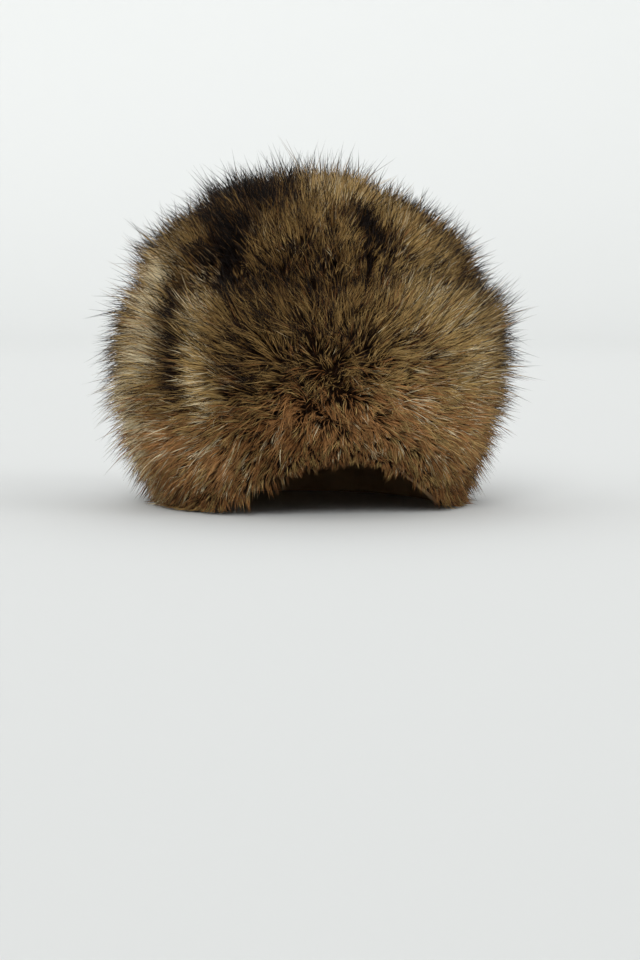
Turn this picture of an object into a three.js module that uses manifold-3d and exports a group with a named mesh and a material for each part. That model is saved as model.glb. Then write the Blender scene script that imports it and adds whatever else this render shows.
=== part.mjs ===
// Raccoon fur hat: a wide fur band and a domed fur crown on two leather walls.
// Millimetres, +Z up. The brow is towards -Y and the wearer's left is towards +X.
// The origin is under the middle of the hat, on the surface that its rim rests on.

import * as THREE from 'three';
import { mergeVertices } from 'three/addons/utils/BufferGeometryUtils.js';
import Module from 'manifold-3d';

const wasm = await Module();
wasm.setup();

const { degToRad, lerp, seededRandom, smoothstep } = THREE.MathUtils;

// Hollow for the head, at the inner face of the leather
const headHalfWidth = 80;
const headHalfDepth = 100;
const hollowDepth = 160;

// Leather walls, with the rim turned in as a hem
const leatherWall = 2;
const hemLayer = 2;
const hemHeight = 12;

// Brow arch, where the rim rises in front
const browRise = 37;
const browOverhang = 7;
const browHalfAngle = degToRad(72);

// Depth of the fur from the leather to the mean of its tips
const furDepthSides = 49;
const furDepthFront = 41;
const furDepthTop = 54;

// Locks of the fur: their spacing, the share of the fur under them, and how far they lean
const lockPitch = 12.5;
const underfurShare = 0.7;
const lockDroop = 0.9;
const droopRoom = 45;
const lockFan = 0.75;
const lockParting = 0.5;

// Random differences between the locks, as shares of their length, of the underfur and of the pitch
const randomStart = 11;
const lockLengthSpread = 0.22;
const underfurSpread = 0.05;
const lockFootSpread = 0.2;
const lockTipSpread = 0.25;

// Clearances
const furClearance = 0.4;
const seamGap = 0.4;
const floorClearance = 1;

// Facets of the leather
const leatherColumns = 44;
const leatherRings = 6;

const tipHalfWidth = headHalfWidth + leatherWall + furDepthSides;
const tipHalfDepth = headHalfDepth + leatherWall + furDepthFront;
const tipHeight = hollowDepth + leatherWall + furDepthTop;

// Outlines, as shares of the half-width and half-depth (out) and of the height (up).
// A band outline runs from the rim to the crown seam, a crown outline from the seam to the top.
const bandLeatherOutline = [
  { out: 1.0, up: 0.0 },
  { out: 1.0, up: 0.22 },
  { out: 0.998, up: 0.42 },
  { out: 0.985, up: 0.58 },
  { out: 0.95, up: 0.7 },
];
const crownLeatherOutline = [
  { out: 0.95, up: 0.7 },
  { out: 0.86, up: 0.83 },
  { out: 0.7, up: 0.92 },
  { out: 0.45, up: 0.978 },
  { out: 0.2, up: 0.997 },
  { out: 0.0, up: 1.0 },
];
const bandFurOutline = [
  { out: 0.75, up: 0.006 },
  { out: 0.81, up: 0.045 },
  { out: 0.885, up: 0.13 },
  { out: 0.955, up: 0.23 },
  { out: 0.992, up: 0.36 },
  { out: 1.0, up: 0.48 },
  { out: 0.985, up: 0.58 },
  { out: 0.94, up: 0.655 },
  { out: 0.895, up: 0.7 },
];
const crownFurOutline = [
  { out: 0.895, up: 0.7 },
  { out: 0.81, up: 0.775 },
  { out: 0.69, up: 0.853 },
  { out: 0.53, up: 0.925 },
  { out: 0.34, up: 0.972 },
  { out: 0.15, up: 0.995 },
  { out: 0.0, up: 1.0 },
];

// Seams of the crown, front to back: where each crosses the middle, as a share of the
// half-width, and how far its front end is turned towards the wearer's right
const crownSeams = {
  left: { across: 0.31, turn: degToRad(9) },
  right: { across: -0.56, turn: degToRad(3) },
};

// Seams of the band, by their angle round the head from the brow towards the wearer's left
const bandSeams = { right: degToRad(-58), left: degToRad(105) };

// Furrows that the seams draw into the fur: depth as a share of the fur, half-width in millimetres
const furrows = {
  crownEdge: { depth: 0.13, halfWidth: 14 },
  crownSeam: { depth: 0.15, halfWidth: 13 },
  bandSeam: { depth: 0.1, halfWidth: 11 },
};

// Dents in the fur: places as shares of the tips' half-width, half-depth and height, reach as a
// share of the half-width, depth as a share of the fur
const dents = [
  { name: 'hollow on the right of the crown', x: -0.3, y: 0.05, z: 0.96, reach: 0.27, depth: 0.2 },
  { name: 'corner where the furrows meet', x: -0.6, y: -0.62, z: 0.73, reach: 0.18, depth: 0.26 },
  { name: 'mark on the left of the crown', x: 0.17, y: -0.7, z: 0.8, reach: 0.11, depth: 0.12 },
  { name: 'slope to the left of the crown', x: 0.6, y: -0.05, z: 0.86, reach: 0.45, depth: 0.15 },
];

// A closed surface that is gathered point by point
class Skin {
  constructor() {
    this.coordinates = [];
    this.corners = [];
  }

  point(place) {
    this.coordinates.push(place.x, place.y, place.z);
    return this.coordinates.length / 3 - 1;
  }

  triangle(a, b, c) {
    this.corners.push(a, b, c);
  }

  quad(a, b, c, d) {
    this.triangle(a, b, c);
    this.triangle(a, c, d);
  }

  // A pointed lock on the four corners of its foot
  lock(a, b, c, d, tip) {
    const top = this.point(tip);
    this.triangle(a, b, top);
    this.triangle(b, c, top);
    this.triangle(c, d, top);
    this.triangle(d, a, top);
  }

  solid() {
    return new wasm.Manifold(new wasm.Mesh({
      numProp: 3,
      vertProperties: new Float32Array(this.coordinates),
      triVerts: new Uint32Array(this.corners),
    }));
  }
}

function outlineCurve(rows) {
  return new THREE.SplineCurve(rows.map((row) => new THREE.Vector2(row.out, row.up)));
}

// The two regions of the hat. climb runs from 0 to 1 up an outline, and angle goes round the
// head from the brow towards the wearer's left. riseShare says how much of the arch is felt.
const band = {
  leather: outlineCurve(bandLeatherOutline),
  fur: outlineCurve(bandFurOutline),
  riseShare: (climb) => (1 - climb) ** 1.6,
};
const crown = {
  leather: outlineCurve(crownLeatherOutline),
  fur: outlineCurve(crownFurOutline),
  riseShare: () => 0,
};

function browArch(angle) {
  const turn = Math.atan2(Math.sin(angle), Math.cos(angle)) / browHalfAngle;
  return Math.abs(turn) < 1 ? (1 + Math.cos(Math.PI * turn)) / 2 : 0;
}

function pointOn(outline, climb, angle, halfWidth, halfDepth, height, rise) {
  const share = outline.getPointAt(climb);
  return new THREE.Vector3(
    halfWidth * share.x * Math.sin(angle),
    -halfDepth * share.x * Math.cos(angle),
    height * share.y + rise * browArch(angle),
  );
}

// A point of the leather, a layer outside its inner face
function leatherPoint(region, climb, angle, layer) {
  return pointOn(
    region.leather, climb, angle,
    headHalfWidth + layer, headHalfDepth + layer, hollowDepth + layer,
    browRise * region.riseShare(climb),
  );
}

// The foot of the fur, just clear of the leather and of the surface that the hat rests on
function footPoint(region, climb, angle) {
  const foot = leatherPoint(region, climb, angle, leatherWall + furClearance);
  foot.z = Math.max(foot.z, floorClearance);
  return foot;
}

function tipPoint(region, climb, angle) {
  return pointOn(
    region.fur, climb, angle, tipHalfWidth, tipHalfDepth, tipHeight,
    (browRise - browOverhang) * region.riseShare(climb),
  );
}

function lengthUp(region, pointAt) {
  const steps = 40;
  let length = 0;
  for (let step = 0; step < steps; step += 1) {
    const from = pointAt(region, step / steps, Math.PI / 2);
    length += from.distanceTo(pointAt(region, (step + 1) / steps, Math.PI / 2));
  }
  return length;
}

function innerLeatherPoint(region, climb, angle) {
  return leatherPoint(region, climb, angle, 0);
}

const furLength = { band: lengthUp(band, tipPoint), crown: lengthUp(crown, tipPoint) };
const leatherLength = {
  band: lengthUp(band, innerLeatherPoint),
  crown: lengthUp(crown, innerLeatherPoint),
};

// The upright planes of the seams, each with its normal towards the wearer's left
function crownSeamPlane({ across, turn }) {
  const normal = new THREE.Vector3(Math.cos(turn), -Math.sin(turn), 0);
  return { normal, offset: normal.x * across * tipHalfWidth };
}

function bandSeamPlane(angle) {
  const along = new THREE.Vector3(tipHalfWidth * Math.sin(angle), -tipHalfDepth * Math.cos(angle), 0);
  along.normalize();
  return { normal: new THREE.Vector3(-along.y, along.x, 0), along, offset: 0 };
}

const seamPlanes = {
  crown: [crownSeamPlane(crownSeams.right), crownSeamPlane(crownSeams.left)],
  band: [bandSeamPlane(bandSeams.right), bandSeamPlane(bandSeams.left)],
};

function hollowing(distance, reach) {
  return Math.exp(-((distance / reach) ** 2));
}

// Share of its full depth that the fur keeps in the furrows and dents
function loft(region, climb, angle) {
  const place = tipPoint(region, climb, angle);
  const fromEdge = region === band ? (1 - climb) * furLength.band : climb * furLength.crown;
  let share = 1 - furrows.crownEdge.depth * hollowing(fromEdge, furrows.crownEdge.halfWidth);
  if (region === crown) {
    for (const plane of seamPlanes.crown) {
      const distance = plane.normal.dot(place) - plane.offset;
      share -= furrows.crownSeam.depth * hollowing(distance, furrows.crownSeam.halfWidth);
    }
  } else {
    for (const plane of seamPlanes.band.filter(({ along }) => along.dot(place) > 0)) {
      share -= furrows.bandSeam.depth * hollowing(plane.normal.dot(place), furrows.bandSeam.halfWidth);
    }
  }
  for (const dent of dents) {
    const middle = new THREE.Vector3(dent.x * tipHalfWidth, dent.y * tipHalfDepth, dent.z * tipHeight);
    share -= dent.depth * hollowing(middle.distanceTo(place), dent.reach * tipHalfWidth);
  }
  return share;
}

// How the locks lean: they fan out on the crown, part in front, and hang on the band where they
// have room above the surface that the hat rests on
function lean(region, climb, angle) {
  const fromEdge = region === band ? (1 - climb) * furLength.band : climb * furLength.crown;
  const freedom = smoothstep(fromEdge, 0, 2 * lockPitch);
  if (region === crown) {
    const outwards = new THREE.Vector3(Math.sin(angle), -Math.cos(angle), 0);
    return outwards.multiplyScalar(lockFan * freedom * Math.sqrt(1 - climb));
  }
  const room = Math.min(tipPoint(region, climb, angle).z / droopRoom, 1);
  const droop = new THREE.Vector3(0, 0, -lockDroop * (1 - climb) * room);
  const side = new THREE.Vector3(Math.cos(angle), Math.sin(angle), 0);
  const parting = lockParting * Math.sin(angle) * Math.max(Math.cos(angle), 0);
  return droop.addScaledVector(side, parting).multiplyScalar(freedom);
}

// The underfur, uneven by a random share
function underfurPoint(region, climb, angle, unevenness) {
  const share = underfurShare * loft(region, climb, angle) * (1 + unevenness);
  const place = footPoint(region, climb, angle).lerp(tipPoint(region, climb, angle), share);
  place.z = Math.max(place.z, floorClearance);
  return place;
}

function lockTip(region, climb, angle, lengthShare) {
  const foot = footPoint(region, climb, angle);
  const full = tipPoint(region, climb, angle).sub(foot);
  const lock = full.length() * (1 - underfurShare) * loft(region, climb, angle) * lengthShare;
  const direction = full.normalize().add(lean(region, climb, angle)).normalize();
  const tip = underfurPoint(region, climb, angle, 0).addScaledVector(direction, lock);
  tip.z = Math.max(tip.z, floorClearance);
  return tip;
}

seededRandom(randomStart);

function spread(amount) {
  return amount * (2 * seededRandom() - 1);
}

function lockLengthShare() {
  return 1 + spread(lockLengthSpread);
}

// A wall that goes round the head: each row of its section says where it lies at an angle. The
// first rows, up to lockRows, carry locks, and every other one of them is shifted by half a step.
function ringSolid(columns, sectionRows, lockRows, lockTipAt) {
  const skin = new Skin();
  const step = (2 * Math.PI) / columns;
  const shift = (row) => (row > 0 && row < lockRows ? (row % 2) * step / 2 : 0);
  const rings = sectionRows.map((place, row) => (
    Array.from({ length: columns }, (_, column) => skin.point(place(column * step + shift(row))))
  ));
  rings.forEach((ring, row) => {
    const next = rings[(row + 1) % rings.length];
    for (let column = 0; column < columns; column += 1) {
      const beside = (column + 1) % columns;
      const foot = [ring[column], ring[beside], next[beside], next[column]];
      if (row < lockRows) {
        const middle = (column + 0.5) * step + (shift(row) + shift(row + 1)) / 2;
        skin.lock(...foot, lockTipAt(row, middle, step));
      } else {
        skin.quad(...foot);
      }
    }
  });
  return skin.solid();
}

// A dome on a square net of cells, drawn out to a disc. Both faces go by climb and angle, and
// lockTipAt, where it is given, stands a lock on each outer cell.
function domeSolid(rings, edgeClimb, outerAt, innerAt, lockTipAt) {
  const skin = new Skin();
  const side = 2 * rings;

  // Climb and angle of a place on the net, which counts from -1 to 1 across and back
  function onDisc(across, back) {
    const reach = Math.max(Math.abs(across), Math.abs(back));
    const sideways = Math.abs(across) > Math.abs(back);
    const ratio = sideways ? back / across : across / back;
    const turn = (Math.PI / 4) * (reach > 0 ? ratio : 0);
    const u = sideways ? across * Math.cos(turn) : back * Math.sin(turn);
    const v = sideways ? across * Math.sin(turn) : back * Math.cos(turn);
    return { climb: lerp(1, edgeClimb, reach), angle: Math.atan2(u, -v) };
  }

  const netPlace = (index) => index / rings - 1;
  const outer = [];
  const inner = [];
  for (let row = 0; row <= side; row += 1) {
    for (let column = 0; column <= side; column += 1) {
      const onEdge = row % side === 0 || column % side === 0;
      const loose = lockTipAt && !onEdge ? lockFootSpread : 0;
      const above = onDisc(netPlace(column + spread(loose)), netPlace(row + spread(loose)));
      const below = onDisc(netPlace(column), netPlace(row));
      outer.push(skin.point(outerAt(above.climb, above.angle)));
      inner.push(skin.point(innerAt(below.climb, below.angle)));
    }
  }
  const corner = (column, row) => row * (side + 1) + column;
  for (let row = 0; row < side; row += 1) {
    for (let column = 0; column < side; column += 1) {
      const cell = [
        corner(column, row), corner(column + 1, row),
        corner(column + 1, row + 1), corner(column, row + 1),
      ];
      const top = cell.map((index) => outer[index]);
      const under = cell.map((index) => inner[index]);
      if (lockTipAt) {
        const across = netPlace(column + 0.5 + spread(lockTipSpread));
        const back = netPlace(row + 0.5 + spread(lockTipSpread));
        const { climb, angle } = onDisc(across, back);
        skin.lock(...top, lockTipAt(climb, angle));
      } else {
        skin.quad(...top);
      }
      skin.quad(...under.reverse());
    }
  }

  // The edge of the dome, walked round its foot
  const walk = [];
  for (let index = 0; index < side; index += 1) walk.push(corner(index, 0));
  for (let index = 0; index < side; index += 1) walk.push(corner(side, index));
  for (let index = side; index > 0; index -= 1) walk.push(corner(index, side));
  for (let index = side; index > 0; index -= 1) walk.push(corner(0, index));
  walk.forEach((here, index) => {
    const next = walk[(index + 1) % walk.length];
    skin.quad(inner[here], inner[next], outer[next], outer[here]);
  });
  return skin.solid();
}

// Leather of the band: up the outer face, down the inner face, and round the hem
function bandLeatherSolid() {
  const topClimb = 1 - seamGap / 2 / leatherLength.band;
  const hemClimb = hemHeight / leatherLength.band;
  const section = [];
  const outerClimbs = [0, 0.2, 0.4, 0.6, 0.8, topClimb];
  const innerClimbs = [topClimb, 0.8, 0.6, 0.4, 1.4 * hemClimb];
  outerClimbs.forEach((climb) => section.push({ climb, layer: leatherWall }));
  innerClimbs.forEach((climb) => section.push({ climb, layer: 0 }));
  section.push({ climb: hemClimb, layer: -hemLayer });
  section.push({ climb: 0, layer: -hemLayer });
  const rows = section.map(({ climb, layer }) => (angle) => leatherPoint(band, climb, angle, layer));
  return ringSolid(leatherColumns, rows, 0);
}

function crownLeatherSolid() {
  const edgeClimb = seamGap / 2 / leatherLength.crown;
  return domeSolid(
    leatherRings, edgeClimb,
    (climb, angle) => leatherPoint(crown, climb, angle, leatherWall),
    (climb, angle) => leatherPoint(crown, climb, angle, 0),
  );
}

// Fur of the band, all round: locks up the outside, then the seam with the crown, the foot of the
// fur against the leather, and its underside at the rim
function bandFurSolid() {
  const columns = Math.round((Math.PI * (tipHalfWidth + tipHalfDepth)) / lockPitch);
  const lockRows = Math.round(furLength.band / lockPitch);
  const topClimb = 1 - seamGap / 2 / furLength.band;
  const footTop = 1 - seamGap / 2 / leatherLength.band;
  const footRows = 6;
  const rows = [];
  for (let row = 0; row <= lockRows; row += 1) {
    const loose = row > 0 && row < lockRows ? 1 : 0;
    const rimShare = row === 0 ? 1 / underfurShare - 1 : 0;
    rows.push((angle) => {
      const climb = (topClimb * (row + loose * spread(lockFootSpread))) / lockRows;
      return underfurPoint(band, climb, angle, rimShare + loose * spread(underfurSpread));
    });
  }
  for (let row = footRows; row >= 0; row -= 1) {
    const climb = (footTop * row) / footRows;
    rows.push((angle) => footPoint(band, climb, angle));
  }
  return ringSolid(columns, rows, lockRows, (row, angle, step) => lockTip(
    band,
    (topClimb * (row + 0.5 + spread(lockTipSpread))) / lockRows,
    angle + spread(lockTipSpread) * step,
    lockLengthShare(),
  ));
}

function crownFurSolid() {
  const rings = Math.round(furLength.crown / lockPitch);
  const edgeClimb = seamGap / 2 / leatherLength.crown;
  return domeSolid(
    rings, edgeClimb,
    (climb, angle) => underfurPoint(crown, climb, angle, climb > edgeClimb ? spread(underfurSpread) : 0),
    (climb, angle) => footPoint(crown, climb, angle),
    (climb, angle) => lockTip(crown, climb, angle, lockLengthShare()),
  );
}

// A saw blade as thick as the seam's gap, from one place to another across the hat
function blade(from, to) {
  const height = 2 * tipHeight;
  const box = new THREE.BoxGeometry(from.distanceTo(to), seamGap, height);
  box.deleteAttribute('normal');
  box.deleteAttribute('uv');
  box.rotateZ(Math.atan2(to.y - from.y, to.x - from.x));
  box.translate((from.x + to.x) / 2, (from.y + to.y) / 2, height / 2 - seamGap);
  const merged = mergeVertices(box);
  return new wasm.Manifold(new wasm.Mesh({
    numProp: 3,
    vertProperties: new Float32Array(merged.attributes.position.array),
    triVerts: new Uint32Array(merged.index.array),
  }));
}

// The bodies that the blades leave, without the crumbs of locks that they cut loose
function sawn(solid, blades, count) {
  const bodies = blades.reduce((rest, next) => rest.subtract(next), solid).decompose();
  return bodies.sort((one, other) => other.volume() - one.volume()).slice(0, count);
}

function sortedAlong(axis, bodies) {
  const middle = (body) => body.boundingBox().min[axis] + body.boundingBox().max[axis];
  return bodies.sort((one, other) => middle(one) - middle(other));
}

const sawReach = 2 * tipHalfDepth;
const crownBlades = seamPlanes.crown.map(({ normal, offset }) => {
  const along = new THREE.Vector3(-normal.y, normal.x, 0).multiplyScalar(sawReach);
  const middle = normal.clone().multiplyScalar(offset);
  return blade(middle.clone().sub(along), middle.clone().add(along));
});
const bandBlades = seamPlanes.band.map(({ along }) => (
  blade(new THREE.Vector3(), along.clone().multiplyScalar(sawReach))
));
const [crownRight, crownCentre, crownLeft] = sortedAlong(0, sawn(crownFurSolid(), crownBlades, 3));
const [bandFront, bandBack] = sortedAlong(1, sawn(bandFurSolid(), bandBlades, 2));

const leatherFinish = { color: 0xb59a78, roughness: 0.85, metalness: 0 };
const crownFurFinish = { color: 0x66532f, roughness: 0.95, metalness: 0 };
const sideFurFinish = { color: 0x8a7548, roughness: 0.95, metalness: 0 };
const bandFurFinish = { color: 0x5e4528, roughness: 0.95, metalness: 0 };

const pieces = [
  { name: 'crown_body', solid: crownLeatherSolid(), finish: leatherFinish },
  { name: 'band_body', solid: bandLeatherSolid(), finish: leatherFinish },
  { name: 'crown_fur_centre', solid: crownCentre, finish: crownFurFinish },
  { name: 'crown_fur_left', solid: crownLeft, finish: sideFurFinish },
  { name: 'crown_fur_right', solid: crownRight, finish: sideFurFinish },
  { name: 'band_fur_front', solid: bandFront, finish: bandFurFinish },
  { name: 'band_fur_back', solid: bandBack, finish: bandFurFinish },
];

const hat = new THREE.Group();
for (const { name, solid, finish } of pieces) {
  const cut = solid.getMesh();
  const geometry = new THREE.BufferGeometry();
  geometry.setAttribute('position', new THREE.BufferAttribute(cut.vertProperties, 3));
  geometry.setIndex(new THREE.BufferAttribute(cut.triVerts, 1));
  const piece = new THREE.Mesh(geometry, new THREE.MeshStandardMaterial(finish));
  piece.name = name;
  hat.add(piece);
}

export default hat;
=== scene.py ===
"""Raccoon fur hat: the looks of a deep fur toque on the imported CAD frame.

Lengths are in metres. The brow is towards -Y and the wearer's left is towards +X.
"""

import math

import bmesh
import bpy
import numpy as np
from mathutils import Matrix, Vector, kdtree


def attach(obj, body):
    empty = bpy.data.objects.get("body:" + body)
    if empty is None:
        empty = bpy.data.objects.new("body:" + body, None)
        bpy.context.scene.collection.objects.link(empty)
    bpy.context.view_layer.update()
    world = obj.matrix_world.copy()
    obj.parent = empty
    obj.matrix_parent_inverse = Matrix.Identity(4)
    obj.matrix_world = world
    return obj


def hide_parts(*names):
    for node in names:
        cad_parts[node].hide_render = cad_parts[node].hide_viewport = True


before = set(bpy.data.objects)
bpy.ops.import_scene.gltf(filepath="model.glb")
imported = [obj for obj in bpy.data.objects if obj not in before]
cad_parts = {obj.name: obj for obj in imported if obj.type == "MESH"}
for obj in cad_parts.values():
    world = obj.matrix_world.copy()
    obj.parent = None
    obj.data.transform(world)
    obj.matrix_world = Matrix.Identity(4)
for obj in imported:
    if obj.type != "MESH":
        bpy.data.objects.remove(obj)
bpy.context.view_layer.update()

bl_info = {
    "name": "Raccoon fur hat",
    "version": (1, 0, 0),
    "blender": (4, 5, 0),
    "location": "View3D > Sidebar > Fur hat",
    "description": "A deep raccoon fur toque with a domed crown and a wide band",
    "category": "Add Mesh",
}

# Hollow, leather and fur, with the same sizes as the solids
HEAD_HALF_WIDTH = 0.080
HEAD_HALF_DEPTH = 0.100
HOLLOW_DEPTH = 0.160
LEATHER_WALL = 0.002
HEM_LAYER = 0.002
HEM_HEIGHT = 0.012
BROW_RISE = 0.037
BROW_OVERHANG = 0.007
BROW_HALF_ANGLE = math.radians(72)
ARCH_FADE = 1.6
FUR_CLEARANCE = 0.0004
SEAM_GAP = 0.0004
FLOOR_CLEARANCE = 0.001
TIP_HALF_WIDTH = HEAD_HALF_WIDTH + LEATHER_WALL + 0.049
TIP_HALF_DEPTH = HEAD_HALF_DEPTH + LEATHER_WALL + 0.041
TIP_HEIGHT = HOLLOW_DEPTH + LEATHER_WALL + 0.054

# Outlines as shares of the half-width and half-depth (out) and of the height (up): (out, up)
BAND_LEATHER = [(1.0, 0.0), (1.0, 0.22), (0.998, 0.42), (0.985, 0.58), (0.95, 0.7)]
CROWN_LEATHER = [(0.95, 0.7), (0.86, 0.83), (0.7, 0.92), (0.45, 0.978), (0.2, 0.997), (0.0, 1.0)]
BAND_FUR = [
    (0.75, 0.006), (0.81, 0.045), (0.885, 0.13), (0.955, 0.23), (0.992, 0.36),
    (1.0, 0.48), (0.985, 0.58), (0.94, 0.655), (0.895, 0.7),
]
CROWN_FUR = [
    (0.895, 0.7), (0.81, 0.775), (0.69, 0.853), (0.53, 0.925), (0.34, 0.972),
    (0.15, 0.995), (0.0, 1.0),
]

# Seams of the crown, front to back: (place across as a share of the half-width, turn)
CROWN_SEAMS = {"right": (-0.56, math.radians(3)), "left": (0.31, math.radians(9))}

# Seams of the band, by their angle from the brow towards the wearer's left
BAND_SEAMS = {"right": math.radians(-58), "left": math.radians(105)}

# Furrows along the seams: (depth as a share of the fur, half-width)
EDGE_FURROW = (0.13, 0.014)
CROWN_FURROWS = {"right": (0.1, 0.013), "left": (0.07, 0.013)}
BAND_FURROW = (0.1, 0.011)

# Dents in the fur, and swells where the depth is below zero: (across, back, up) as shares of the
# tips' sizes, reach as a share of the half-width, depth as a share of the fur
DENTS = [
    ((-0.42, -0.05, 0.92), 0.2, -0.06),
    ((0.14, -0.2, 0.97), 0.2, -0.13),
    ((-0.28, 0.0, 0.97), 0.12, 0.07),
    ((0.43, 0.0, 0.89), 0.13, 0.08),
    ((0.7, 0.0, 0.76), 0.13, 0.08),
    ((0.76, -0.35, 0.25), 0.3, 0.2),
    ((-0.83, 0.0, 0.68), 0.24, -0.17),
    ((-0.72, 0.0, 0.8), 0.2, 0.12),
    ((-0.6, -0.62, 0.73), 0.18, 0.26),
    ((0.17, -0.7, 0.8), 0.11, 0.12),
    ((0.52, -0.05, 0.89), 0.42, 0.2),
]

# How the hairs lie: they part from a whorl over the brow, fan out on the crown, and hang down
# behind and at the rim. A lean is the way to the side for each length of the way out.
WHORL = np.array([-0.014, -0.138, 0.128])
WHORL_REACH = 0.048
WHORL_MIX = 0.5
PARTING = 0.46
FRONT_LIFT = 0.34
BACK_HANG = 0.6
BACK_SWEEP = 0.25
CROWN_FAN = 0.24
RIM_HANG = 0.85
BROW_HANG = 0.2
OVER_RIM = 0.9
RIM_STEP = 0.02
SEAM_LEAN = 0.35
TUFT_TURN = 0.4
DRIFT_TURN = 0.3
DRIFT_LENGTH = 0.018

# Where each lie begins and is full. FACING is the cosine of the angle from the brow.
FACING_LIFTS_UP = (0, 0.8)
FACING_PARTS = (-0.3, 0.6)
FACING_LIFTS = (0.1, 0.6)
FACING_FOLDS = (0, 0.4)
HEIGHT_LIFTS = (0.09, 0.13)
CLIMB_OVER_RIM = (0, 0.09)
CLIMB_AT_RIM = (0.02, 0.14)
CLIMB_LOW = (0.05, 0.45)
CLIMB_LONGER = (0.2, 0.8)
LOW_TOP = 0.5
LOW_RANGE = 0.45
FLOOR_EASE = 0.035
EDGE_RANGE = (-0.004, 0.02)

# How much of the way out the hairs lose at the rim and low on the band, and their length there
RIM_FOLD = 0.6
LOW_FOLD = 0.5
SHORTEST_RUN = 0.006
RIM_RUN = 0.01
RIM_RUN_SPREAD = (0.2, 1.4)
TOP_LENGTH = 0.10

# The two kinds of hair by length: spread of their lengths, own turn, how far the tips gather,
# extra length on the crown and at the rim, and where their rings stand along them
UNDERHAIR = dict(lengths=(0.86, 1.08), turn=0.17, gathers=1.0, longer=1.0, hangs=1.0, bends=(0.38,))
GUARD = dict(lengths=(0.84, 1.1), turn=0.2, gathers=0.55, longer=0.4, hangs=1.4, bends=(0.3, 0.65))
TURN_LIMIT = 2
TUFT_LENGTHS = (0.93, 1.05)
ROOT_SPREAD = (0.85, 1.1)
WIDTH_SPREAD = (0.8, 1.2)
EARLY_BEND = 0.4
GATHER_CURVE = 0.8
RING_WIDTHS = (1.0, 0.85)
HAIR_CLEARANCE = FLOOR_CLEARANCE + 0.0006

# Where the dense fur shows, as a share of its depth, and where a hair's kind is read along it
SHOWN = 0.8
KIND_PLACE = 0.85

# Slow changes from place to place, made of waves
DRIFT_WAVES = 9
WAVE_SPREAD = (0.7, 1.5)
MOTTLE = 0.09
MOTTLE_LENGTH = 0.013

# Shares of grizzled, dark, warm and cream hairs away from the markings, and the heights between
# which the fur turns from the low shares to the others
PLAIN_HAIRS = np.array([0.7, 0.25, 0.03, 0.02])
LOW_HAIRS = np.array([0.3, 0.07, 0.58, 0.05])
LOW_HAIRS_END, LOW_HAIRS_FULL = 0.085, 0.035

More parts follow.
